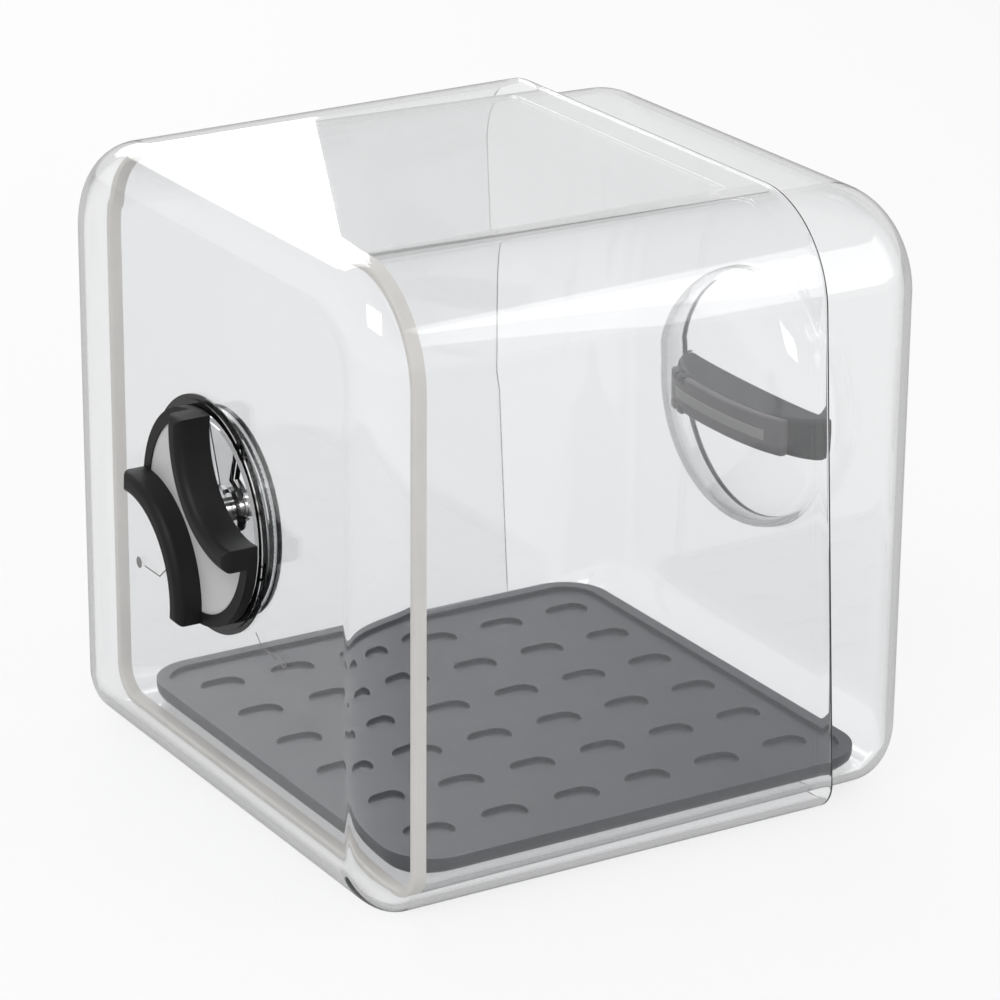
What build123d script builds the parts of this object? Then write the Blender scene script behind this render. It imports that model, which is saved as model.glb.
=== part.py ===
"""Telescoping bread keeper with a turning air vent.

Two clear square shells slide one inside the other, so the box grows with
the loaf. The outer shell's closed end carries a vent with an S-shaped grip.
The inner shell's closed end has a round finger dish with a bar across it.
A dimpled tray lies on the inner shell's floor.

Frame: X runs along the slide towards the inner shell's closed end, Z is up,
and the origin is the bottom centre of the whole box. Sizes are millimetres.
"""
from build123d import *
from math import cos, radians, sin, tan
import os

os.makedirs("parts", exist_ok=True)

# Driving dimensions: the two shells
shell_width = 184.0          # outer shell at the lip of its mouth
shell_height = 184.0
closed_length = 187.0        # end face to end face, pushed together
outer_length = 148.0         # outer shell, at mid height
inner_length = 172.5
wall = 2.2
draft = 0.5                  # degrees on each side wall and the roof
mouth_slant = 3.0            # degrees, the lower lip reaches further out
top_corner = 29.5
bottom_corner = 10.5
outer_end_radius = 14.0
inner_end_radius = 20.0
slide_gap = 0.5              # each side wall and the roof, at the tightest
floor_gap = 0.3
lip_round = 0.7              # both edges of each mouth

# Driving dimensions: the vent and its dial
dial_height = 92.0
flange_radius = 34.4
flange_thickness = 1.2
flange_step = 1.4            # width of the lower step round the flange
well_radius = 29.0
well_wall = 1.4
well_depth = 6.4
well_floor = 1.6
well_fit = 0.15              # housing in the shell's hole
window_inner = 10.5
window_outer = 25.5
window_angle = 62.0
disc_gap = 0.3
disc_thickness = 1.4
disc_rim_gap = 0.4
hub_radius = 6.6
hub_flutes = 12
rib_thickness = 1.3
rib_count = 3                # behind each lobe
boss_radius = 6.4
boss_height = 2.6
screw_radius = 2.0
screw_fit = 0.08
screw_head_radius = 3.9
screw_head_height = 2.2
screw_engagement = 5.5
washer_radius = 5.2
washer_thickness = 0.8
seal_radius = 27.4
seal_width = 1.2
seal_depth = 0.8

dial_radius = 31.4
dial_gap = 0.4               # under the dial, above the flange
dial_base = 3.2
dial_web = 1.0
lobe_angle = -48.0           # where a lobe points, seen from outside
scoop_radius = 25.0
scoop_offset = 39.0
fin_thickness = 6.6
fin_height = 10.4            # above the flange gap
fin_edge = 2.4
rim_width = 3.6
plate_sink = 0.5
arrow_start = 12.0
arrow_length = 10.0
arrow_width = 5.6
arrow_line = 0.7
arrow_depth = 0.35

# Driving dimensions: the finger dish and its bar
grip_height = 96.0
dish_radius = 38.0
dish_floor_radius = 30.0
dish_depth = 18.0
dish_bend = 7.0
bar_height = 26.0
bar_waist = 3.0              # how far its long edges draw in
bar_depth = 6.0
bar_edge = 2.0
core_height = 20.0
core_depth = 3.2
core_slot_length = 50.0
core_slot_height = 7.0
core_slot_depth = 1.6
bar_seat = 0.15
hook_length = 7.0
hook_height = 1.8
hook_spacing = 42.0

# Driving dimensions: the tray
tray_setback = 3.5           # from the inner shell's rim
tray_end_gap = 13.0          # to the inner shell's closed end
tray_side_gap = 5.9          # to each side wall, at the rim
tray_thickness = 7.0
tray_corner = 15.0
tray_edge = 5.5
tray_lift = 0.3
tray_rim = 4.0
tray_recess = 1.2
dimple_length = 14.0
dimple_width = 9.0
dimple_depth = 1.2
dimple_pitch = 24.0

# Places that follow from those sizes
taper = tan(radians(draft))
lip_reach = shell_height / 2 * tan(radians(mouth_slant))
dial_floor = flange_thickness + dial_gap
dial_proud = dial_floor + fin_height
outer_end_x = -(closed_length - dial_proud) / 2
inner_end_x = outer_end_x + closed_length
lower_lip_x = outer_end_x + outer_length + lip_reach
rim_x = inner_end_x - inner_length

# The inner shell clears the outer shell where the two are tightest: at its
# own rim, when pushed together.
rim_width_y = shell_width - 2 * (lower_lip_x - rim_x) * taper - 2 * wall - 2 * slide_gap
rim_height_z = shell_height - (lower_lip_x - rim_x) * taper - 2 * wall - slide_gap - floor_gap
inner_floor_z = wall + floor_gap


def shell_block(wide_x, end_x, width, height, floor_z, top_r, bottom_r, end_r, spare=0.0):
    """Solid block with drafted sides, round corners and a round closed end.

    Its plan and its side view are cut from one block, so the walls stay
    flat. width and height hold at wide_x. The block runs spare past it,
    at the same draft, so that a cavity cuts cleanly through a mouth.
    """
    way = 1 if wide_x > end_x else -1
    length = abs(wide_x - end_x)
    open_x = wide_x + way * spare
    open_y = width / 2 + spare * taper
    end_y = width / 2 - length * taper
    open_z = floor_z + height + spare * taper
    end_z = floor_z + height - length * taper
    with BuildPart() as block:
        with BuildSketch(Plane.XY.offset(floor_z)):
            with BuildLine():
                Polyline((open_x, open_y), (end_x, end_y), (end_x, -end_y), (open_x, -open_y),
                         close=True)
            make_face()
        extrude(amount=height + spare)
        with BuildSketch(Plane.XZ):
            with BuildLine():
                Polyline((open_x, floor_z), (open_x, open_z), (end_x, end_z), (end_x, floor_z),
                         close=True)
            make_face()
        extrude(amount=width, both=True, mode=Mode.INTERSECT)
        for which, radius in ((-1, top_r), (0, bottom_r)):
            runs = block.edges().filter_by(
                lambda e: abs(e.tangent_at(0.5).X) > 0.9 and e.length > length / 2)
            fillet(runs.group_by(Axis.Z)[which], radius)
        fillet(block.faces().sort_by(Axis.X)[0 if way > 0 else -1].edges(), end_r)
    return block.part


# Outer shell: clear, closed at the vent end, with a slanted mouth
dial_plane = Plane(origin=(outer_end_x, 0, dial_height), x_dir=(0, -1, 0), z_dir=(-1, 0, 0))
housing_radius = well_radius + well_wall
mouth_plane = Plane(
    origin=(outer_end_x + outer_length, 0, shell_height / 2), x_dir=(0, 1, 0),
    z_dir=(cos(radians(mouth_slant)), 0, sin(radians(mouth_slant))))

with BuildPart() as outer_shell:
    add(shell_block(lower_lip_x, outer_end_x, shell_width, shell_height, 0,
                    top_corner, bottom_corner, outer_end_radius, spare=wall))
    add(shell_block(lower_lip_x, outer_end_x + wall, shell_width - 2 * wall,
                    shell_height - 2 * wall, wall, top_corner - wall, bottom_corner - wall,
                    outer_end_radius - wall, spare=4 * wall), mode=Mode.SUBTRACT)
    split(bisect_by=mouth_plane, keep=Keep.BOTTOM)
    mouth = outer_shell.faces().sort_by(Axis.X)[-1]
    fillet(mouth.edges(), lip_round)
    with BuildSketch(dial_plane.offset(wall)):
        Circle(housing_radius + well_fit)
    extrude(amount=-3 * wall, mode=Mode.SUBTRACT)
outer_shell.part.label = "outer_shell"

# Inner shell: clear, its mouth faces the vent, its closed end has the dish
grip_plane = Plane(origin=(inner_end_x, 0, grip_height), x_dir=(0, 1, 0), z_dir=(1, 0, 0))


def dish_block(grow, bend):
    """Round bowl sunk from the end face, grown all round by grow."""
    with BuildPart() as bowl:
        with BuildSketch(Plane.XZ) as profile:
            with BuildLine():
                Polyline((0, 0), (dish_radius + grow, 0),
                         (dish_floor_radius + grow, -dish_depth - grow),
                         (0, -dish_depth - grow), close=True)
            make_face()
            fillet(profile.vertices().sort_by_distance(
                (dish_floor_radius + grow, -dish_depth - grow))[0], bend)
        revolve(axis=Axis.Z)
    return grip_plane * bowl.part


with BuildPart() as inner_shell:
    add(shell_block(rim_x, inner_end_x, rim_width_y, rim_height_z, inner_floor_z,
                    top_corner, bottom_corner, inner_end_radius))
    add(shell_block(rim_x, inner_end_x - wall, rim_width_y - 2 * wall, rim_height_z - 2 * wall,
                    inner_floor_z + wall, top_corner - wall, bottom_corner - wall,
                    inner_end_radius - wall, spare=wall), mode=Mode.SUBTRACT)
    fillet(inner_shell.faces().sort_by(Axis.X)[0].edges(), lip_round)
    add(dish_block(wall, dish_bend + wall))
    add(dish_block(0, dish_bend), mode=Mode.SUBTRACT)
inner_shell.part.label = "inner_shell"


# The two facing sectors that let air through, behind the finger scoops
with BuildSketch() as windows:
    for side in (90, 270):
        start = lobe_angle + side - window_angle / 2
        with BuildLine():
            low = CenterArc((0, 0), window_inner, start, window_angle)
            high = CenterArc((0, 0), window_outer, start, window_angle)
            Line(low @ 0, high @ 0)
            Line(low @ 1, high @ 1)
        make_face()


# Vent housing: clear flanged cup in the end wall, with two windows
floor_top = -well_depth
floor_back = floor_top - well_floor
boss_back = floor_back - boss_height
with BuildPart() as vent_housing:
    with BuildSketch(dial_plane):
        Circle(flange_radius)
    extrude(amount=flange_thickness / 2)
    with BuildSketch(dial_plane.offset(flange_thickness / 2)):
        Circle(flange_radius - flange_step)
    extrude(amount=flange_thickness / 2)
    with BuildSketch(dial_plane):
        Circle(housing_radius)
    extrude(amount=floor_back)
    with BuildSketch(dial_plane.offset(flange_thickness)):
        Circle(well_radius)
    extrude(amount=-flange_thickness + floor_top, mode=Mode.SUBTRACT)
    with BuildSketch(dial_plane.offset(floor_back)):
        Circle(boss_radius)
    extrude(amount=-boss_height)
    with BuildSketch(dial_plane.offset(floor_top)):
        add(windows.sketch)
    extrude(amount=-well_floor, mode=Mode.SUBTRACT)
    with BuildSketch(dial_plane.offset(floor_top)):
        Circle(seal_radius + seal_width / 2)
        Circle(seal_radius - seal_width / 2, mode=Mode.SUBTRACT)
    extrude(amount=-seal_depth, mode=Mode.SUBTRACT)
    with BuildSketch(dial_plane.offset(floor_top)):
        Circle(screw_radius + screw_fit)
    extrude(amount=boss_back - floor_top, mode=Mode.SUBTRACT)
vent_housing.part.label = "vent_housing"

# Vent seal: soft ring that the turning disc wipes
disc_back = floor_top + disc_gap
with BuildPart() as vent_seal:
    with BuildSketch(dial_plane.offset(floor_top - seal_depth)):
        Circle(seal_radius + seal_width / 2)
        Circle(seal_radius - seal_width / 2, mode=Mode.SUBTRACT)
    extrude(amount=seal_depth + disc_gap - 0.05)
vent_seal.part.label = "vent_seal"

# Vent disc: clear rotor with matching windows, a fluted hub and lobe ribs
disc_front = disc_back + disc_thickness
disc_radius = well_radius - disc_rim_gap
with BuildPart() as vent_disc:
    with BuildSketch(dial_plane.offset(disc_back)):
        Circle(disc_radius)
    extrude(amount=disc_thickness)
    with BuildSketch(dial_plane.offset(disc_back)):
        add(windows.sketch)
    extrude(amount=disc_thickness, mode=Mode.SUBTRACT)
    with BuildSketch(dial_plane.offset(disc_front)):
        for side in (0, 180):
            for place in range(rib_count):
                turn = lobe_angle + side + (place - (rib_count - 1) / 2) * 90 / (rib_count + 1)
                with Locations(Location((0, 0), turn)):
                    with Locations(((hub_radius + window_outer) / 2, 0)):
                        Rectangle(window_outer - hub_radius + rib_thickness, rib_thickness)
    extrude(amount=dial_floor - disc_front)
    with BuildSketch(dial_plane.offset(disc_front)):
        RegularPolygon(hub_radius + rib_thickness, hub_flutes, rotation=lobe_angle)
    extrude(amount=dial_floor - disc_front)
    with BuildSketch(dial_plane.offset(disc_back)):
        Circle(screw_radius)
    extrude(amount=screw_engagement, mode=Mode.SUBTRACT)
vent_disc.part.label = "vent_disc"

# Screw and washer: the axle, driven in from the bread side
washer_back = boss_back - washer_thickness
head_front = washer_back - 0.05
with BuildPart() as dial_washer:
    with BuildSketch(dial_plane.offset(washer_back)):
        Circle(washer_radius)
        Circle(screw_radius + screw_fit, mode=Mode.SUBTRACT)
    extrude(amount=washer_thickness)
dial_washer.part.label = "dial_washer"

with BuildPart() as dial_screw:
    with BuildSketch(dial_plane.offset(head_front - screw_head_height)):
        Circle(screw_head_radius)
    extrude(amount=screw_head_height)
    fillet(dial_screw.edges().sort_by(Axis.X)[-1], screw_head_height / 3)
    with BuildSketch(dial_plane.offset(head_front)):
        Circle(screw_radius)
    extrude(amount=disc_back + screw_engagement - head_front)
    with BuildSketch(dial_plane.offset(head_front - screw_head_height)):
        Rectangle(screw_head_radius * 1.2, screw_head_radius * 0.25)
        Rectangle(screw_head_radius * 0.25, screw_head_radius * 1.2)
    extrude(amount=screw_head_height / 2, mode=Mode.SUBTRACT)
dial_screw.part.label = "dial_screw"


def lobed_disc(radius, grow):
    """A disc with the two finger scoops bitten out, each grown by grow."""
    with BuildSketch() as outline:
        Circle(radius)
        for side in (90, 270):
            turn = radians(lobe_angle + side)
            with Locations((scoop_offset * cos(turn), scoop_offset * sin(turn))):
                Circle(scoop_radius + grow, mode=Mode.SUBTRACT)
    return outline.sketch


# Dial grip: black soft S shape, rimmed lobes and two tall curved fins
rim_top = dial_floor + dial_base
web_top = dial_floor + dial_web
with BuildPart() as dial_grip:
    with BuildSketch(dial_plane.offset(dial_floor)):
        add(lobed_disc(dial_radius, 0))
    extrude(amount=fin_height)
    with BuildSketch(dial_plane.offset(rim_top)):
        add(lobed_disc(dial_radius + rim_width, fin_thickness))
    extrude(amount=fin_height, mode=Mode.SUBTRACT)
    tops = dial_grip.faces().sort_by(Axis.X)[:2]
    fillet(tops.edges(), fin_edge)
    with BuildSketch(dial_plane.offset(web_top)):
        add(lobed_disc(dial_radius - rim_width, fin_thickness))
    extrude(amount=dial_base, mode=Mode.SUBTRACT)
dial_grip.part.label = "dial_grip"

# Dial plate: satin grey S panel let into the grip, an arrow on each lobe
plate_top = rim_top - plate_sink
with BuildPart() as dial_plate:
    with BuildSketch(dial_plane.offset(web_top)):
        add(lobed_disc(dial_radius - rim_width, fin_thickness))
    extrude(amount=plate_top - web_top)
    with BuildSketch(dial_plane.offset(plate_top)):
        for side in (0, 180):
            with Locations(Location((0, 0), lobe_angle + side)):
                with BuildLine():
                    Polyline((arrow_start, arrow_width / 2), (arrow_start + arrow_length, 0),
                             (arrow_start, -arrow_width / 2), close=True)
                make_face()
        offset(amount=-arrow_line, mode=Mode.SUBTRACT)
    extrude(amount=-arrow_depth, mode=Mode.SUBTRACT)
dial_plate.part.label = "dial_plate"


# Grip bar: black bar across the dish, its long edges drawn in for fingers
bar_back = -bar_depth
with BuildPart() as grip_bar:
    with BuildSketch(grip_plane) as bar_outline:
        with BuildLine():
            left = -dish_radius
            right = dish_radius
            top = bar_height / 2
            ThreePointArc((left, top), (0, top - bar_waist), (right, top))
            Line((right, top), (right, -top))
            ThreePointArc((right, -top), (0, -top + bar_waist), (left, -top))
            Line((left, -top), (left, top))
        make_face()
    extrude(amount=-bar_depth)
    front = grip_bar.faces().sort_by(Axis.X)[-1]
    fillet(front.edges().filter_by(GeomType.CIRCLE), bar_edge)
    with BuildSketch(grip_plane.offset(bar_back)):
        for across in (-1, 1):
            for up in (-1, 1):
                with Locations((across * hook_spacing / 2,
                                up * (core_height + hook_height) / 2)):
                    Rectangle(hook_length, hook_height)
    extrude(amount=-core_depth)
    add(dish_block(-bar_seat, dish_bend), mode=Mode.INTERSECT)
grip_bar.part.label = "grip_bar"

# Grip core: stiff grey beam behind the bar, with a long slot in its back
core_back = bar_back - core_depth
with BuildPart() as grip_core:
    with BuildSketch(grip_plane.offset(bar_back)):
        Rectangle(2 * dish_radius, core_height)
    extrude(amount=-core_depth)
    add(dish_block(-bar_seat, dish_bend), mode=Mode.INTERSECT)
    with BuildSketch(grip_plane.offset(core_back)):
        SlotOverall(core_slot_length, core_slot_height)
    extrude(amount=core_slot_depth, mode=Mode.SUBTRACT)
grip_core.part.label = "grip_core"

# Tray: dark dimpled board with a low rim, lying on the inner shell's floor
tray_length = inner_length - tray_setback - tray_end_gap
tray_width = rim_width_y - 2 * wall - 2 * tray_side_gap
tray_z = inner_floor_z + wall + tray_lift
tray_x = rim_x + tray_setback + tray_length / 2
with BuildPart() as tray:
    with BuildSketch(Plane(origin=(tray_x, 0, tray_z))):
        RectangleRounded(tray_length, tray_width, tray_corner)
    extrude(amount=tray_thickness)
    fillet(tray.faces().sort_by(Axis.Z)[0].edges(), tray_edge)
    with BuildSketch(Plane(origin=(tray_x, 0, tray_z + tray_thickness))):
        RectangleRounded(tray_length - 2 * tray_rim, tray_width - 2 * tray_rim,
                         tray_corner - tray_rim)
    extrude(amount=-tray_recess, mode=Mode.SUBTRACT)
    columns = int((tray_length - 2 * tray_rim - dimple_length) // dimple_pitch) + 1
    rows = int((tray_width - 2 * tray_rim - dimple_width) // dimple_pitch) + 1
    with BuildSketch(Plane(origin=(tray_x, 0, tray_z + tray_thickness - tray_recess))):
        with GridLocations(dimple_pitch, dimple_pitch, columns, rows):
            SlotOverall(dimple_length, dimple_width)
    extrude(amount=-dimple_depth, mode=Mode.SUBTRACT)
tray.part.label = "tray"

for piece in (outer_shell, vent_housing, vent_seal, dial_washer, inner_shell, grip_bar,
              grip_core, vent_disc, dial_screw, dial_grip, dial_plate, tray):
    export_step(piece.part, f"parts/{piece.part.label}.step")
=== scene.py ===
# %% [markdown]
# # Bread keeper in clear plastic
# The real thing is two clear square shells, one sliding in the other, with a turning air vent,
# a finger grip and a dark tray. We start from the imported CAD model, which holds every piece at its
# real size, and give each one the surface and the finish that the eye expects. We could model
# everything again by hand, but then the sizes could drift, so the CAD stays our ruler.

# %% Load the frame and keep its box
import bpy
import numpy as np
from mathutils import Matrix


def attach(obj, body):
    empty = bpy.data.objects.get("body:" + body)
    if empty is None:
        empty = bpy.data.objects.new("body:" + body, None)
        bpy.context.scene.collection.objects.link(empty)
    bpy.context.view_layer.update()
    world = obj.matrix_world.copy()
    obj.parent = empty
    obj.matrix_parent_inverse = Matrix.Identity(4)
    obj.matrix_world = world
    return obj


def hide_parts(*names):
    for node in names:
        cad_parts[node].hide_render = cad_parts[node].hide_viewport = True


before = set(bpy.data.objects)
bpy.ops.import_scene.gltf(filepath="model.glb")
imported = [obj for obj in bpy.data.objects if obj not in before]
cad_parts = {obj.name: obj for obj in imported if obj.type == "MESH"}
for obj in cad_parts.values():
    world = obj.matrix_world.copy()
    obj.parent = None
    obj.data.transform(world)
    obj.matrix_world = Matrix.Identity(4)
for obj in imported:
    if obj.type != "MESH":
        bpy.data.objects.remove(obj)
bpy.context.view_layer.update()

MM = 0.001

# %% [markdown]
# ## Sizes that the surfaces share
# A moulded shell is a box with a little draft, so that it leaves its mould: each wall leans half a
# degree. We could read the CAD mesh back, but a formula from the same few sizes gives a far
# smoother surface, so we write the sizes down once, in millimetres.

# %% The shells' sizes
TAPER = np.tan(np.radians(0.5))
SLANT = np.tan(np.radians(3.0))
WALL = 2.2
SIDE = 184.0
WALL_STEPS, BEND_STEPS = 40, 18
TOP_R, BOTTOM_R, EASED_R = 29.5, 10.5, 5.0
OUTER_END, OUTER_MOUTH, OUTER_BEND = -87.5, 60.5, 14.0
INNER_END, INNER_RIM, INNER_BEND = 99.5, -73.0, 20.0
INNER_FLOOR, SIDE_PLAY, TOP_PLAY = 2.5, 1.0, 0.8
DIAL_Z, GRIP_Z, MID_Z = 92.0, 96.0, 92.0
VENT_HOLE_R = 30.55
LIP_R = 0.7
LOWER_LIP = OUTER_MOUTH + MID_Z * SLANT
RIM_W = SIDE - 2 * (LOWER_LIP - INNER_RIM) * TAPER - 2 * WALL - SIDE_PLAY
RIM_H = SIDE - (LOWER_LIP - INNER_RIM) * TAPER - 2 * WALL - TOP_PLAY
print(f"lower lip at x {LOWER_LIP:.2f} mm, inner rim {RIM_W:.2f} by {RIM_H:.2f} mm")

# %% [markdown]
# ## From rows of points to a mesh
# Most pieces here are a stack of closed loops, like the hoops of a barrel. If every loop has the
# same number of points, the faces between them follow a simple pattern of numbers, and numpy can
# write all of them at once. A loop over single points would do the same, only slowly.

# %% Stack loops into a closed mesh


def mesh_piece(name, points, faces, material):
    """A new object from points in millimetres and arrays of faces, smooth shaded."""
    mesh = bpy.data.meshes.new(name)
    mesh.from_pydata((points * MM).tolist(), [], [f for block in faces for f in block.tolist()])
    mesh.validate()
    mesh.shade_smooth()
    mesh.materials.append(material)
    piece = bpy.data.objects.new(name, mesh)
    bpy.context.scene.collection.objects.link(piece)
    print(f"{name}: {len(mesh.vertices)} points, {len(mesh.polygons)} faces")
    return piece


def volume_sign(points, faces):
    """The sign of the sum of corner . (corner x corner) over a fan of each face: plus if it faces out."""
    total = 0.0
    for block in faces:
        for k in range(1, block.shape[1] - 1):
            a, b, c = points[block[:, 0]], points[block[:, k]], points[block[:, k + 1]]
            total += np.einsum("ij,ij->i", a, np.cross(b, c)).sum()
    return total


def stack_faces(rows, ring=False, poles=(False, False)):
    """Points and faces of a stack of loops, (row, column, xyz). Face i,j joins loops i and i+1.

    ring joins the last loop to the first. A pole closes an end with a fan to the loop's middle.
    """
    count, columns = rows.shape[:2]
    points = rows.reshape(-1, 3)
    index = np.arange(count * columns).reshape(count, columns)
    if ring:
        index = np.vstack([index, index[:1]])
    near, far = index[:-1], index[1:]
    quads = np.stack([near, np.roll(near, -1, 1), np.roll(far, -1, 1), far], -1).reshape(-1, 4)
    faces = [quads]
    for end, row in zip(poles, (0, -1)):
        if end:
            loop = index[row] if row == 0 else index[row][::-1]
            tip = np.full(columns, len(points))
            points = np.vstack([points, points[loop].mean(0)])
            faces.append(np.stack([np.roll(loop, -1), loop, tip], -1))
    if volume_sign(points, faces) < 0:
        faces = [block[:, ::-1] for block in faces]
    return points, faces


# %% [markdown]
# ## One loop of a shell
# Cut a shell across and you see a square with large round corners on top and small ones below.
# A Bevel modifier could round a cube, but it can't give the top and the bottom their own radius
# and keep the points in tidy columns. So a loop is worked out as four arcs with straight runs
# between them, always with the same number of points.

# %% Loops with round corners
ARC, RUN = 20, 26


def loop_columns():
    """For each column: the corner it leaves, its angle, the corner it goes to, its angle, the share."""
    out = []
    for k in range(4):
        turn = np.linspace(k * 90, k * 90 + 90, ARC + 1)
        out.append(np.c_[np.full(ARC + 1, k), turn, np.full(ARC + 1, k), turn, np.zeros(ARC + 1)])
        ease = np.linspace(0, 1, RUN + 1)[1:-1]
        ease = ease - 0.12 * np.sin(2 * np.pi * ease)
        edge = np.full(RUN - 1, k * 90 + 90)
        out.append(np.c_[np.full(RUN - 1, k), edge, np.full(RUN - 1, (k + 1) % 4), edge, ease])
    return np.vstack(out)


COLUMNS = loop_columns()


def square_loops(width, height, floor, top_r, bottom_r):
    """y and z of a square loop: corner middle + radius * (cos, sin), shared along each run.

    Each size is one number per row, or one per row and column.
    """
    def corner(k, angle):
        k, angle = k.astype(int), np.radians(angle)
        side = np.where((k == 0) | (k == 3), 1.0, -1.0)
        top = k < 2
        radius = np.where(top, top_r, bottom_r)
        y = side * (width / 2 - radius) + radius * np.cos(angle)
        z = np.where(top, floor + height - radius, floor + radius) + radius * np.sin(angle)
        return y, z
    y0, z0 = corner(COLUMNS[:, 0], COLUMNS[:, 1])
    y1, z1 = corner(COLUMNS[:, 2], COLUMNS[:, 3])
    share = COLUMNS[:, 4]
    return y0 + (y1 - y0) * share, z0 + (z1 - z0) * share


# %% [markdown]
# ## A whole shell skin
# One skin of a shell is a path from the rim, along the wall, round the bend, and onto the flat
# end. At each step we know how far it has gone along the wall and how far it has come in, so
# one formula gives all the loops. We make an outer skin and an inner skin the same way, a
# wall apart, and join them over a rounded lip, because clear plastic only bends light as it
# should when the wall has both of its faces.

# %% Skins and lips


def shell_skin(mouth_x, end_x, width, height, floor, top_r, bottom_r, end_r, inset, slant=0.0):
    """Loops from the mouth to the flat end. inset moves the skin inwards from the outer one.

    Along the wall x runs evenly. Round the bend x = end - r (1 - sin a) and the loop comes in by
    r (1 - cos a). Widths lose 2 x taper per millimetre of length, heights 1 x taper. Height and
    slanted mouth depend on each other, so they are worked out three times in turn. The small
    bottom corners ease to EASED_R on the way round, since the bend is larger than they are.
    """
    way = np.sign(mouth_x - end_x)
    r = end_r - inset
    bend_x = end_x + way * (inset + r)
    along = np.linspace(0, 1, WALL_STEPS + 1)[:-1][:, None]
    turn = np.radians(np.linspace(0, 90, BEND_STEPS + 1))[:, None]
    come_in = np.vstack([np.zeros((WALL_STEPS, 1)), r * (1 - np.cos(turn))]) + inset
    straight = np.vstack([np.full((WALL_STEPS, 1), bend_x), bend_x - way * r * np.sin(turn)])
    x = straight * np.ones(len(COLUMNS))
    for _ in range(3):
        spent = np.abs(mouth_x - x) if slant == 0 else LOWER_LIP - x
        w = width - 2 * TAPER * spent - 2 * come_in
        h = height - TAPER * spent - 2 * come_in
        low_r = bottom_r - inset + (EASED_R - bottom_r) * (come_in - inset) / r
        y, z = square_loops(w, h, floor + come_in, top_r - come_in, low_r)
        start = mouth_x - slant * (z[:WALL_STEPS] - MID_Z)
        x[:WALL_STEPS] = start + (bend_x - start) * along
    return np.stack([x, y, z], -1)


def lip_loops(outside, inside, radius=LIP_R):
    """Loops over the rim, from the outer skin to the inner one: a quarter round, a flat, and another.

    Each quarter is its middle + radius * (cos a, sin a), across the wall and along it.
    """
    a, b = outside[:1], inside[:1]
    along = outside[1:2] - a
    along = radius * along / np.linalg.norm(along, axis=-1, keepdims=True)
    across = radius * (b - a) / np.linalg.norm(b - a, axis=-1, keepdims=True)
    turn = np.radians(np.linspace(0, 90, 6))[:, None, None]
    first = a + along * (1 - np.sin(turn)) + across * (1 - np.cos(turn))
    last = b + along * (1 - np.cos(turn)) - across * (1 - np.sin(turn))
    return np.concatenate([first, last], 0)


def end_loops(edge, middle_z, radius, count=14):
    """Flat loops from the last loop of a skin to a circle: each point slides along its own ray."""
    y, z = edge[:, 1], edge[:, 2] - middle_z
    angle = np.arctan2(z, y)
    circle = np.stack([edge[:, 0], radius * np.cos(angle), middle_z + radius * np.sin(angle)], -1)
    t = np.linspace(0, 1, count + 1)[1:]
    t = (t - 0.14 * np.sin(2 * np.pi * t))[:, None, None]
    return edge * (1 - t) + circle * t


# %% [markdown]
# ## Finishes: grain and wear as node groups
# Real plastic is never one even colour. Soft rubber has a fine grain, satin parts have a finer
# one, and anything handled gets small scuffs. Several materials need the same two effects, so
# each is a node group with named sockets, made once. Painting a texture by hand would also do
# it, but a group stays sharp at any distance.

# %% Node group: moulded grain


def new_group(name, inputs, outputs):
    """An empty shader node group with its sockets, and its two end nodes."""
    group = bpy.data.node_groups.new(name, "ShaderNodeTree")
    for title, kind, value in inputs:
        socket = group.interface.new_socket(title, in_out="INPUT", socket_type=kind)
        socket.default_value = value
    for title, kind in outputs:
        group.interface.new_socket(title, in_out="OUTPUT", socket_type=kind)
    return group, group.nodes.new("NodeGroupInput"), group.nodes.new("NodeGroupOutput")


def add_node(tree, kind, links=(), **values):
    """A node with its settings, and its inputs linked by name or set to a number."""
    node = tree.nodes.new(kind)
    for key, value in values.items():
        setattr(node, key, value)
    for socket, source in links:
        if isinstance(source, bpy.types.NodeSocket):
            tree.links.new(source, node.inputs[socket])
        else:
            node.inputs[socket].default_value = source
    return node


def new_material(name):
    """A material with an empty node tree."""
    material = bpy.data.materials.new(name)
    material.use_nodes = True
    material.node_tree.nodes.clear()
    return material, material.node_tree


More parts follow.
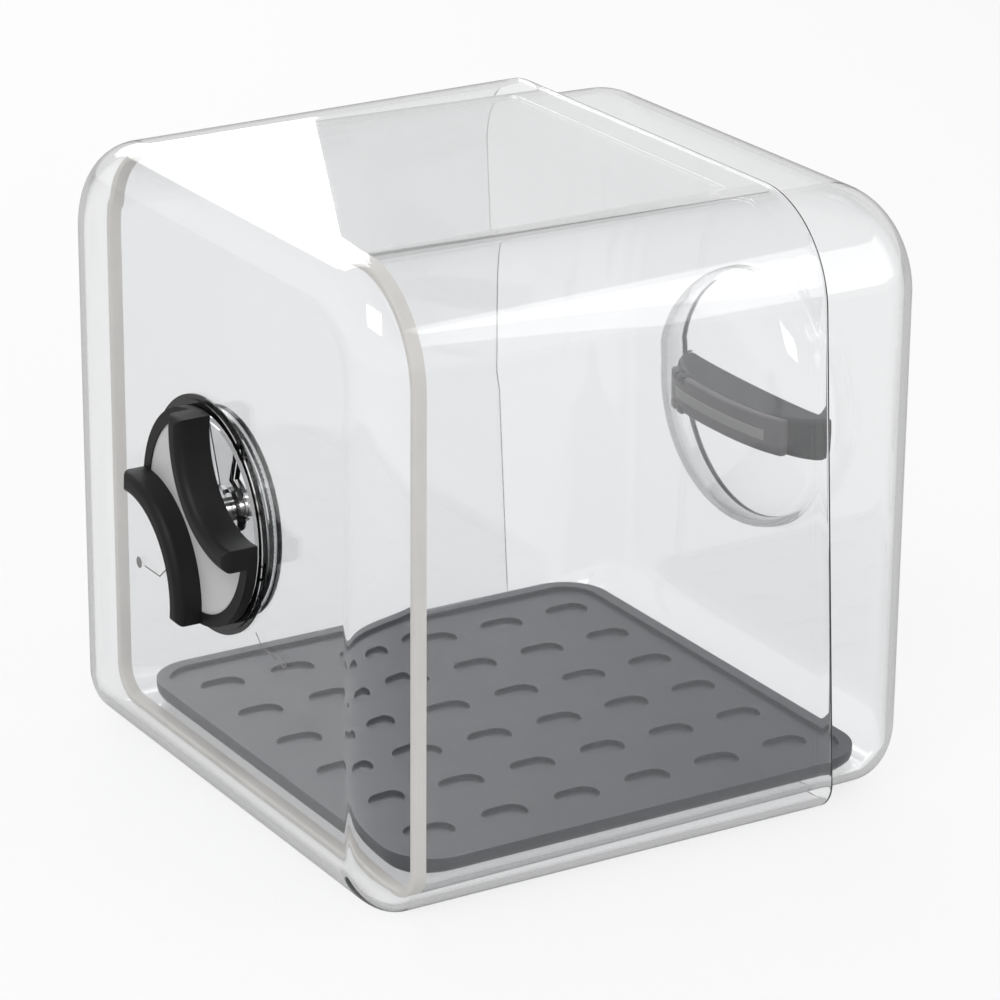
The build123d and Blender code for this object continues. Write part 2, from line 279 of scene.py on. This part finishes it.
def make_grain_group():
    """Fine noise lifts the surface, and slow noise varies colour and roughness."""
    group, start, end = new_group(
        "moulded_grain",
        [("Size", "NodeSocketFloat", 900.0), ("Height", "NodeSocketFloat", 0.2),
         ("Colour", "NodeSocketColor", (0.5, 0.5, 0.5, 1)), ("Change", "NodeSocketFloat", 0.1),
         ("Roughness", "NodeSocketFloat", 0.5)],
        [("Colour", "NodeSocketColor"), ("Roughness", "NodeSocketFloat"),
         ("Normal", "NodeSocketVector")])
    place = add_node(group, "ShaderNodeTexCoord").outputs["Object"]
    fine = add_node(group, "ShaderNodeTexNoise",
                    [("Vector", place), ("Scale", start.outputs["Size"]), ("Detail", 3.0)])
    slow = add_node(group, "ShaderNodeTexNoise",
                    [("Vector", place), ("Scale", 38.0), ("Detail", 4.0), ("Roughness", 0.6)])
    swing = add_node(group, "ShaderNodeMapRange",
                     [("Value", slow.outputs[0]), ("From Min", 0.3), ("From Max", 0.7),
                      ("To Min", -1.0), ("To Max", 1.0)])
    amount = add_node(group, "ShaderNodeMath",
                      [(0, swing.outputs[0]), (1, start.outputs["Change"])], operation="MULTIPLY")
    brighter = add_node(group, "ShaderNodeMath", [(0, amount.outputs[0]), (1, 1.0)],
                        operation="ADD")
    colour = add_node(group, "ShaderNodeVectorMath",
                      [(0, start.outputs["Colour"]), ("Scale", brighter.outputs[0])],
                      operation="SCALE")
    rough = add_node(group, "ShaderNodeMath",
                     [(0, start.outputs["Roughness"]), (1, brighter.outputs[0])],
                     operation="MULTIPLY")
    bump = add_node(group, "ShaderNodeBump",
                    [("Strength", start.outputs["Height"]), ("Distance", 0.0001),
                     ("Height", fine.outputs[0])])
    group.links.new(colour.outputs[0], end.inputs["Colour"])
    group.links.new(rough.outputs[0], end.inputs["Roughness"])
    group.links.new(bump.outputs[0], end.inputs["Normal"])
    return group


grain = make_grain_group()

# %% [markdown]
# ## Node group: scuffs
# Sliding the shells and wiping them dry leaves faint hairlines. Stretched noise gives thin
# streaks along the way the shells slide, and only the strongest show, as a little roughness.

# %% Build the scuff group


def make_scuff_group():
    """Stretched noise, kept only above a threshold and in soft patches, as one mask."""
    group, start, end = new_group(
        "hairline_scuffs",
        [("Clean", "NodeSocketFloat", 0.02), ("Scuffed", "NodeSocketFloat", 0.2),
         ("Amount", "NodeSocketFloat", 0.3)],
        [("Roughness", "NodeSocketFloat")])
    place = add_node(group, "ShaderNodeTexCoord").outputs["Object"]
    mapped = add_node(group, "ShaderNodeMapping",
                      [("Vector", place), ("Rotation", (0.09, 0.06, 0.09)),
                       ("Scale", (14, 900, 900))])
    streak = add_node(group, "ShaderNodeTexNoise",
                      [("Vector", mapped.outputs[0]), ("Scale", 1.0), ("Detail", 0.0)])
    strong = add_node(group, "ShaderNodeMapRange",
                      [("Value", streak.outputs[0]), ("From Min", 0.66), ("From Max", 0.82)])
    patch = add_node(group, "ShaderNodeTexNoise", [("Vector", place), ("Scale", 22.0),
                                                   ("Detail", 0.0)])
    kept = add_node(group, "ShaderNodeMath", [(0, strong.outputs[0]), (1, patch.outputs[0])],
                    operation="MULTIPLY")
    amount = add_node(group, "ShaderNodeMath", [(0, kept.outputs[0]), (1, start.outputs["Amount"])],
                      operation="MULTIPLY", use_clamp=True)
    rough = add_node(group, "ShaderNodeMapRange",
                     [("Value", amount.outputs[0]), ("To Min", start.outputs["Clean"]),
                      ("To Max", start.outputs["Scuffed"])])
    group.links.new(rough.outputs[0], end.inputs["Roughness"])
    return group


scuffs = make_scuff_group()

# %% [markdown]
# ## Clear plastic
# The shells are polished clear plastic, which bends light like glass. Cycles would lose the lamp's
# light on its way through eight bent faces, so for shadow rays, and for light bouncing off the
# tray, the material steps aside and lets it pass with a slight loss. What the camera sees
# directly is still real refraction, with its bright bends and grey edges.

# %% Make the clear materials


def clear_plastic(name, tint, passed):
    """Refracting plastic: Principled with transmission, and hairlines in its roughness."""
    material, tree = new_material(name)
    marks = add_node(tree, "ShaderNodeGroup", node_tree=scuffs)
    for title, value in (("Clean", 0.012), ("Scuffed", 0.16), ("Amount", 0.35)):
        marks.inputs[title].default_value = value
    body = add_node(tree, "ShaderNodeBsdfPrincipled",
                    [("Base Color", tint), ("Roughness", marks.outputs["Roughness"]),
                     ("IOR", 1.52), ("Transmission Weight", 1.0)])
    through = add_node(tree, "ShaderNodeBsdfTransparent", [("Color", passed)])
    path = add_node(tree, "ShaderNodeLightPath")
    either = add_node(tree, "ShaderNodeMath", [(0, path.outputs["Is Shadow Ray"]),
                                               (1, path.outputs["Is Diffuse Ray"])],
                      operation="MAXIMUM")
    mix = add_node(tree, "ShaderNodeMixShader", [(0, either.outputs[0]), (1, body.outputs[0]),
                                                 (2, through.outputs[0])])
    add_node(tree, "ShaderNodeOutputMaterial", [("Surface", mix.outputs[0])])
    return material


clear_shell = clear_plastic("clear_shell", (0.985, 0.988, 0.992, 1), (0.93, 0.935, 0.94, 1))
clear_vent = clear_plastic("clear_vent", (0.98, 0.985, 0.99, 1), (0.93, 0.94, 0.94, 1))

# %% [markdown]
# ## Solid finishes
# The rest is soft black rubber, satin grey plastic, a dark satin tray, plated steel and a pale
# silicone ring. They share one recipe, a Principled shader fed by the grain group, and differ
# in colour, roughness, grain size and sheen. Metal only needs its metallic value turned up.

# %% Make the solid materials


def solid_finish(name, colour, rough, size, height, change=0.08, **constants):
    """Principled shader with colour, roughness and normal from the grain group."""
    material, tree = new_material(name)
    skin = add_node(tree, "ShaderNodeGroup", node_tree=grain)
    for title, value in (("Size", size), ("Height", height), ("Colour", (*colour, 1)),
                         ("Change", change), ("Roughness", rough)):
        skin.inputs[title].default_value = value
    body = add_node(tree, "ShaderNodeBsdfPrincipled",
                    [("Base Color", skin.outputs["Colour"]),
                     ("Roughness", skin.outputs["Roughness"]),
                     ("Normal", skin.outputs["Normal"])])
    for title, value in constants.items():
        body.inputs[title.replace("_", " ")].default_value = value
    add_node(tree, "ShaderNodeOutputMaterial", [("Surface", body.outputs[0])])
    return material


soft_black = solid_finish("soft_black", (0.0065, 0.006, 0.006), 0.5, 1400.0, 0.3, 0.14,
                          Specular_IOR_Level=0.3)
plate_grey = solid_finish("plate_grey", (0.60, 0.60, 0.60), 0.42, 2200.0, 0.12, 0.03)
bar_dark = solid_finish("bar_dark", (0.018, 0.020, 0.021), 0.45, 1500.0, 0.3, 0.16,
                        Specular_IOR_Level=0.35)
core_grey = solid_finish("core_grey", (0.13, 0.115, 0.12), 0.4, 1800.0, 0.15, 0.05)
slot_grey = solid_finish("slot_grey", (0.33, 0.315, 0.30), 0.4, 1800.0, 0.15, 0.05)
tray_dark = solid_finish("tray_dark", (0.040, 0.043, 0.054), 0.36, 1500.0, 0.3, 0.12,
                         Specular_IOR_Level=0.4)
# Opaque cream for the clear inner shell's lip: a painted highlight standing in for the light line along
# the rim.
rim_painted_highlight = solid_finish("rim_painted_highlight", (0.74, 0.71, 0.67), 0.5, 1900.0, 0.12, 0.05)
steel = solid_finish("plated_steel", (0.72, 0.71, 0.69), 0.24, 2600.0, 0.1, 0.1, Metallic=1.0)
silicone = solid_finish("silicone", (0.62, 0.63, 0.62), 0.55, 1700.0, 0.15, 0.05)
mark_grey = solid_finish("mark_grey", (0.24, 0.24, 0.235), 0.55, 2400.0, 0.05, 0.06)

# %% [markdown]
# ## Outer shell
# The outer shell has a slanted mouth, straight walls and a closed end with a round hole for the
# vent. Its loops run from the hole across the flat end, round the bend, along the wall, over the
# lip and back inside to the hole, so the last loop can join the first.

# %% Build the outer shell


def outer_shell_rows():
    """All loops of the outer shell, hole to hole, as one ring."""
    sizes = (OUTER_MOUTH, OUTER_END, SIDE, SIDE, 0.0, TOP_R, BOTTOM_R, OUTER_BEND)
    skins, ends = [], []
    for inset in (0.0, WALL):
        skin = shell_skin(*sizes, inset, slant=SLANT)
        skins.append(skin)
        ends.append(end_loops(skin[-1], DIAL_Z, VENT_HOLE_R))
    outside, inside = skins
    lip = lip_loops(outside, inside)
    return np.concatenate([ends[0][::-1], outside[::-1][:-1], lip, inside[1:], ends[1]], 0)


outer_rows = outer_shell_rows()
outer_clear = mesh_piece("outer_shell_clear", *stack_faces(outer_rows, ring=True), clear_shell)
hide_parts("outer_shell")
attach(outer_clear, "outer")

# %% [markdown]
# ## Inner shell
# The inner shell has a straight rim and a closed end with a round finger dish. Its skin goes on
# over the dish's brim and down its soft bowl to one middle point. We could cut the dish with a
# Boolean, but then its brim would be a ragged edge of tiny faces. The rim's lip gets a second,
# opaque cream material on its rows of faces: a painted highlight for the light line of the clear rim.

# %% Build the inner shell
DISH_R, DISH_DEEP, BRIM_R, BOWL = 38.0, 18.0, 3.0, 2.6


def dish_profile(grow):
    """Radius and depth down the dish: a quarter round brim, then a full soft bowl.

    The bowl is a superellipse, radius = R cos(t)^(2/n) and depth = D sin(t)^(2/n), below the
    brim. grow adds the wall's thickness, which leaves a smaller round under the brim.
    """
    a = np.radians(np.linspace(0, 90, 7))
    b = BRIM_R - grow
    brim = np.c_[DISH_R + BRIM_R - b * np.sin(a), BRIM_R - b * np.cos(a)]
    t = np.radians(90) * np.linspace(0.04, 0.985, 26)
    bowl = np.c_[(DISH_R + grow) * np.cos(t) ** (2 / BOWL),
                 BRIM_R + (DISH_DEEP + grow - BRIM_R) * np.sin(t) ** (2 / BOWL)]
    return np.vstack([brim, bowl])


def second_finish(piece, material, first, last):
    """Gives the faces from first up to last another material than the rest."""
    piece.data.materials.append(material)
    chosen = np.zeros(len(piece.data.polygons), dtype=np.int32)
    chosen[first:last] = 1
    piece.data.polygons.foreach_set("material_index", chosen)


def inner_shell_rows():
    """All loops of the inner shell, from the dish's middle outside to its middle inside.

    Also gives the first row of the lip's faces, and how many rows they are.
    """
    sizes = (INNER_RIM, INNER_END, RIM_W, RIM_H, INNER_FLOOR, TOP_R, BOTTOM_R, INNER_BEND)
    skins, ends = [], []
    for inset in (0.0, WALL):
        skin = shell_skin(*sizes, inset)
        profile = dish_profile(inset)
        flat = end_loops(skin[-1], GRIP_Z, profile[0, 0])
        angle = np.arctan2(flat[-1, :, 2] - GRIP_Z, flat[-1, :, 1])
        r, d = profile[1:, :1], profile[1:, 1:]
        dish = np.stack([INNER_END - d * np.ones_like(angle), r * np.cos(angle),
                         GRIP_Z + r * np.sin(angle)], -1)
        skins.append(skin)
        ends.append(np.concatenate([flat, dish], 0))
        print(f"inner skin {inset} mm in: brim starts at radius {profile[0, 0]:.2f} mm")
    outside, inside = skins
    lip = lip_loops(outside, inside)
    first = len(ends[0]) + len(outside) - 2
    rows = np.concatenate([ends[0][::-1], outside[::-1][:-1], lip, inside[1:], ends[1]], 0)
    return rows, first, len(lip) + 1


inner_rows, lip_first, lip_count = inner_shell_rows()
inner_clear = mesh_piece("inner_shell_clear", *stack_faces(inner_rows, poles=(True, True)),
                         clear_shell)
# The lip's rows of faces get the cream painted highlight instead of clear plastic.
second_finish(inner_clear, rim_painted_highlight, lip_first * len(COLUMNS),
              (lip_first + lip_count) * len(COLUMNS))
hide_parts("inner_shell")
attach(inner_clear, "inner")

# %% [markdown]
# ## Finger grip
# A beam crosses the dish, so that two fingers can pinch it from above and below. Its back
# follows the bowl, so its section changes along the way: it is deep in the middle and shallow at
# the ends. We could cut a block with the bowl, but a section with its own depth at each step is
# one formula and stays smooth. A grey core is let into the back, with a long shallow slot.

# %% Beam with a changing section
BAR_LOW, BAR_HIGH, BAR_HALF, BAR_EDGE, BAR_WAIST = 86.6, 99.2, 36.4, 1.8, 1.3
BAR_FRONT_GAP, BAR_BACK_GAP = 0.3, 3.4
CORE_LOW, CORE_HIGH, CORE_HALF, CORE_EDGE = 87.2, 98.4, 29.0, 0.9
CORE_GAPS, SLOT_GAPS, HOOK_GAPS = (0.9, 3.5), (0.7, 1.6), (0.35, 3.6)
SLOT_END, SLOT_BELOW, SLOT_ABOVE, SLOT_EDGE, SLOT_TAIL = 6.0, 3.6, 4.2, 0.4, 0.5
HOOK_HALF, HOOK_TALL, HOOK_EDGE = 1.7, 2.6, 0.4
HOOK_LEFTS, HOOK_LOWS = (19.0, 24.0), (CORE_LOW - 0.3, CORE_HIGH - 2.2)
SIDE_ARC = 7


def bowl_back(y, gap):
    """x of the bowl's wall behind the beam, less a gap, taken at the beam's lower edge."""
    off = np.sqrt(y ** 2 + (GRIP_Z - BAR_LOW) ** 2)
    rest = np.clip(1 - (off / DISH_R) ** BOWL, 0, 1)
    return INNER_END - BRIM_R - (DISH_DEEP - BRIM_R) * rest ** (1 / BOWL) + gap


def beam_rows(y, back, front, low, high, edge):
    """Rounded sections along y: corner middle + edge * (cos, sin), drawn in round both ends."""
    reach = np.abs(y).max() - edge
    over = np.clip((np.abs(y) - reach) / edge, 0, 1)
    pull = edge * (1 - np.sqrt(1 - over ** 2))
    turn = np.radians(np.add.outer(np.arange(4) * 90, np.linspace(0, 90, SIDE_ARC))).ravel()
    diagonal = np.repeat(np.radians([45, 135, 225, 315]), SIDE_ARC)
    side_x, side_z = np.sign(np.cos(diagonal)), np.sign(np.sin(diagonal))
    half_x = ((front - back) / 2 - pull)[:, None]
    half_z = ((high - low) / 2 - pull)[:, None]
    corner = np.minimum(edge, np.minimum(half_x, half_z) * 0.98)
    x = ((front + back) / 2)[:, None] + side_x * (half_x - corner) + corner * np.cos(turn)
    z = ((high + low) / 2)[:, None] + side_z * (half_z - corner) + corner * np.sin(turn)
    return np.stack([x, y[:, None] * np.ones(len(turn)), z], -1)


def end_steps(half, edge):
    """Places along y, close together in both round ends and evenly spaced between them."""
    a = np.radians(np.linspace(0, 84, 7))
    tail = half - edge + edge * np.sin(a)
    return np.concatenate([-tail[::-1], np.linspace(edge - half, half - edge, 41)[1:-1], tail])


def join_pieces(parts):
    """Several (points, faces) as one, each block of faces moved on by the points before it."""
    points, faces, start = [], [], 0
    for some, blocks in parts:
        points.append(some)
        faces += [block + start for block in blocks]
        start += len(some)
    return np.vstack(points), faces


# %% Build the bar and its core


def hook(left, low):
    """One of the bar's hooks: a small rounded block that grips an edge of the core."""
    steps = end_steps(HOOK_HALF, HOOK_EDGE)
    flat = np.full(len(steps), low)
    back, front = (bowl_back(left + steps, gap) for gap in HOOK_GAPS)
    rows = beam_rows(steps, back, front, flat, flat + HOOK_TALL, HOOK_EDGE)
    return stack_faces(rows + [0, left, 0], poles=(True, True))


steps = end_steps(BAR_HALF, BAR_EDGE)
waist = BAR_WAIST * (1 - (steps / BAR_HALF) ** 2)
front = np.full(len(steps), INNER_END - BAR_FRONT_GAP)
beam = beam_rows(steps, bowl_back(steps, BAR_BACK_GAP), front, BAR_LOW + waist * 0.5,
                 BAR_HIGH - waist, BAR_EDGE)
bar = [stack_faces(beam, poles=(True, True))]
bar += [hook(left, low) for low in HOOK_LOWS for left in HOOK_LEFTS]
grip = mesh_piece("grip_bar_soft", *join_pieces(bar), bar_dark)
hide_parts("grip_bar")
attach(grip, "inner")


def strip(steps, gaps, low, high, edge):
    """A beam of even height whose back and front both follow the bowl."""
    back, front = (bowl_back(steps, gap) for gap in gaps)
    flat = np.ones(len(steps))
    return stack_faces(beam_rows(steps, back, front, low * flat, high * flat, edge),
                       poles=(True, True))


body = strip(end_steps(CORE_HALF, CORE_EDGE), CORE_GAPS, CORE_LOW, CORE_HIGH, CORE_EDGE)
slot = strip(end_steps(CORE_HALF - SLOT_END, SLOT_TAIL), SLOT_GAPS, CORE_LOW + SLOT_BELOW,
             CORE_HIGH - SLOT_ABOVE, SLOT_EDGE)
core = mesh_piece("grip_core_beam", *join_pieces([body, slot]), core_grey)
slot_first = sum(len(some) for some in body[1])
second_finish(core, slot_grey, slot_first, len(core.data.polygons))
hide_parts("grip_core")
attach(core, "inner")

# %% [markdown]
# ## Marks beside the dial
# Fine printed lines lead from the dial to what its two ends mean. Words would tie the part to one
# make, so a full dot stands for closed and an open ring for open. Ink has almost no thickness, but
# a flat decal in the same plane would flicker, so each mark stands a twentieth of a millimetre out.

# %% Print the marks
INK, UNDER = 0.05, -0.02
MARK_Z, DOT_Z, CORNER_Z, MARK_R, HOLE_R = 62.4, 62.3, 65.7, 1.7, 1.2
ROUND = np.linspace(0, 2 * np.pi, 33)[:-1]
CIRCLE = np.c_[np.cos(ROUND), np.sin(ROUND)]


def flat_mark(outline):
    """A thin plate with this outline, (y, z), on the outer shell's end face."""
    rows = np.array([np.c_[np.full(len(outline), OUTER_END - out), outline]
                     for out in (UNDER, INK)])
    return stack_faces(rows, poles=(True, True))


def line_mark(start, end, width=0.42):
    """A stroke from start to end: both points moved half a width to each side."""
    start, end = np.array(start), np.array(end)
    way = (end - start) / np.linalg.norm(end - start)
    side = np.array([-way[1], way[0]]) * width / 2
    return flat_mark(np.array([start + side, end + side, end - side, start - side]))


def ring_mark(middle, outer_r, inner_r):
    """A flat ring: four circles, outer and inner, on the face and just above it."""
    loops = [(outer_r, UNDER), (outer_r, INK), (inner_r, INK), (inner_r, UNDER)]
    rows = np.array([np.c_[np.full(len(CIRCLE), OUTER_END - out), middle + r * CIRCLE]
                     for r, out in loops])
    return stack_faces(rows, ring=True)


closed_mark = flat_mark(np.array([45.0, DOT_Z]) + MARK_R * CIRCLE)
open_mark = ring_mark(np.array([-42.6, MARK_Z]), MARK_R, HOLE_R)
marks = [line_mark((41.3, MARK_Z), (31.8, MARK_Z)), line_mark((31.8, MARK_Z), (27.9, CORNER_Z)),
         closed_mark, line_mark((-26.7, CORNER_Z), (-30.4, MARK_Z)),
         line_mark((-30.4, MARK_Z), (-39.0, MARK_Z)), open_mark]
printed = mesh_piece("vent_marks", *join_pieces(marks), mark_grey)
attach(printed, "outer")

# %% [markdown]
# ## Finishes for the pieces that stay as CAD
# The vent, its dial, the screw and the tray have their right shape already. We only give each
# one its material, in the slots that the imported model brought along.

# %% Dress the CAD pieces
finishes = {"vent_housing": clear_vent, "vent_disc": clear_vent, "vent_seal": silicone,
            "dial_washer": steel, "dial_screw": steel, "dial_grip": soft_black,
            "dial_plate": plate_grey, "tray": tray_dark}
for node, finish in finishes.items():
    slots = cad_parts[node].data.materials
    for place in range(len(slots)):
        slots[place] = finish
print("dressed:", ", ".join(finishes))

# %% [markdown]
# ## Floor, light and background
# A pale sweep and large soft lamps are how such pictures are taken. The background is white
# because the world is white for the camera and for what is seen through the plastic, not because
# more light falls on the object. A mirror bounce sees the room's darker side, as in a real studio,
# or else the walls would lay a white veil over all that stands behind them.

# %% Stage


def seen_rays(tree, path):
    """1 for rays that look: from the camera, off a mirror or through plastic. 0 for light itself."""
    seen = path.outputs["Is Camera Ray"]
    for kind in ("Is Glossy Ray", "Is Transmission Ray"):
        seen = add_node(tree, "ShaderNodeMath", [(0, seen), (1, path.outputs[kind])],
                        operation="MAXIMUM").outputs[0]
    return seen


def mirror_dim(tree, path, level):
    """1 on paths without a mirror bounce, and this level after one: the studio's dark side."""
    deep = add_node(tree, "ShaderNodeMapRange",
                    [("Value", path.outputs["Glossy Depth"]), ("To Min", 1.0), ("To Max", level)])
    return deep.outputs[0]


def make_world():
    """White where it is seen, darker overhead and off a mirror, and a plain level as light."""
    world = bpy.data.worlds.new("studio")
    bpy.context.scene.world = world
    world.use_nodes = True
    tree = world.node_tree
    tree.nodes.clear()
    path = add_node(tree, "ShaderNodeLightPath")
    aim = add_node(tree, "ShaderNodeTexCoord").outputs["Generated"]
    up = add_node(tree, "ShaderNodeSeparateXYZ", [(0, aim)]).outputs["Z"]
    roof = add_node(tree, "ShaderNodeMapRange",
                    [("Value", up), ("From Min", 0.25), ("From Max", 0.85), ("To Min", 1.0),
                     ("To Max", 0.6)], interpolation_type="SMOOTHSTEP")
    hidden = add_node(tree, "ShaderNodeMath", [(0, 1.0), (1, path.outputs["Is Camera Ray"])],
                      operation="SUBTRACT")
    shade = add_node(tree, "ShaderNodeMix", [("Factor", hidden.outputs[0]), ("A", 1.0),
                                             ("B", roof.outputs[0])], data_type="FLOAT")
    dim = mirror_dim(tree, path, 0.75)
    shade = add_node(tree, "ShaderNodeMath", [(0, shade.outputs[0]), (1, dim)],
                     operation="MULTIPLY")
    level = add_node(tree, "ShaderNodeMix", [("Factor", seen_rays(tree, path)), ("A", 0.55),
                                             ("B", shade.outputs[0])], data_type="FLOAT")
    sky = add_node(tree, "ShaderNodeBackground", [("Color", (1, 1, 1, 1)),
                                                  ("Strength", level.outputs[0])])
    add_node(tree, "ShaderNodeOutputWorld", [("Surface", sky.outputs[0])])


def make_floor():
    """A wide pale disc that shows white, with the object's shadow as its only mark."""
    around, sink = 96, 0.15
    angle = np.linspace(0, 2 * np.pi, around + 1)[:-1]
    radius = np.array([60.0, 200.0, 600.0, 1600.0, 5000.0])[:, None]
    loops = np.stack([radius * np.cos(angle), radius * np.sin(angle), 0 * radius * angle], -1)
    index = np.arange(loops.shape[0] * around).reshape(-1, around)
    near, far = index[:-1], index[1:]
    quads = np.stack([near, far, np.roll(far, -1, 1), np.roll(near, -1, 1)], -1).reshape(-1, 4)
    points = np.vstack([loops.reshape(-1, 3), [[0, 0, 0]]])
    fan = np.stack([index[0], np.roll(index[0], -1), np.full(around, len(points) - 1)], -1)
    points[:, 2] -= sink
    material, tree = new_material("pale_floor")
    skin = add_node(tree, "ShaderNodeGroup", node_tree=grain)
    for title, value in (("Size", 300.0), ("Height", 0.02), ("Colour", (0.9, 0.9, 0.9, 1)),
                         ("Change", 0.004), ("Roughness", 0.6)):
        skin.inputs[title].default_value = value
    matt = add_node(tree, "ShaderNodeBsdfDiffuse", [("Color", skin.outputs["Colour"])])
    path = add_node(tree, "ShaderNodeLightPath")
    glow = add_node(tree, "ShaderNodeEmission", [("Strength", mirror_dim(tree, path, 0.45))])
    mix = add_node(tree, "ShaderNodeMixShader", [(1, matt.outputs[0]), (2, glow.outputs[0])])
    share = add_node(tree, "ShaderNodeMath", [(0, seen_rays(tree, path)), (1, 0.72)],
                     operation="MULTIPLY")
    tree.links.new(share.outputs[0], mix.inputs[0])
    add_node(tree, "ShaderNodeOutputMaterial", [("Surface", mix.outputs[0])])
    floor = mesh_piece("floor", points, [quads, fan], material)


def soft_lamp(name, place, size, power):
    """A square area lamp that faces the middle of the box."""
    data = bpy.data.lights.new(name, "AREA")
    data.shape, data.size, data.energy = "SQUARE", size, power
    lamp = bpy.data.objects.new(name, data)
    bpy.context.scene.collection.objects.link(lamp)
    back = np.array(place) - [0, 0, 0.09]
    z = back / np.linalg.norm(back)
    x = np.cross([0, 0, 1.0], z)
    x /= np.linalg.norm(x)
    spin = np.eye(4)
    spin[:3, :3] = np.c_[x, np.cross(z, x), z]
    spin[:3, 3] = place
    lamp.matrix_world = Matrix(spin.tolist())
    lamp.visible_camera = False
    print(name, "at", place)


make_world()
make_floor()
soft_lamp("key", (-0.75, -0.55, 1.15), 0.6, 7.0)
soft_lamp("fill", (1.0, -0.9, 0.7), 0.9, 4.0)
soft_lamp("back", (0.2, 1.1, 0.9), 0.8, 5.0)
bpy.context.scene.view_settings.view_transform = "Standard"

# %% [markdown]
# ## Camera
# The picture was solved for its camera from the box's own rims: how far away it stood, how high,
# and how long its lens was. Guessing by eye would also come close, but a solved camera lets us
# compare edge by edge.

# %% Camera from the solved view


def make_camera(azimuth, elevation, roll, lens, place):
    """Looks back along (sin a cos e, -cos a cos e, sin e), turned by roll about its own line."""
    a, e, r = np.radians([azimuth, elevation, roll])
    back = np.array([np.sin(a) * np.cos(e), -np.cos(a) * np.cos(e), np.sin(e)])
    right = np.cross([0, 0, 1.0], back)
    right /= np.linalg.norm(right)
    up = np.cross(back, right)
    data = bpy.data.cameras.new("camera")
    data.lens, data.sensor_width, data.clip_end = lens, 36.0, 50.0
    camera = bpy.data.objects.new("camera", data)
    bpy.context.scene.collection.objects.link(camera)
    spin = np.eye(4)
    spin[:3, :3] = np.c_[right * np.cos(r) + up * np.sin(r), up * np.cos(r) - right * np.sin(r),
                         back]
    spin[:3, 3] = np.array(place) * MM
    camera.matrix_world = Matrix(spin.tolist())
    bpy.context.scene.camera = camera
    print("camera", np.round(place, 1), "lens", lens)


make_camera(-31.514, 20.618, 0.47, 153.45, (-601.8, -994.5, 517.1))
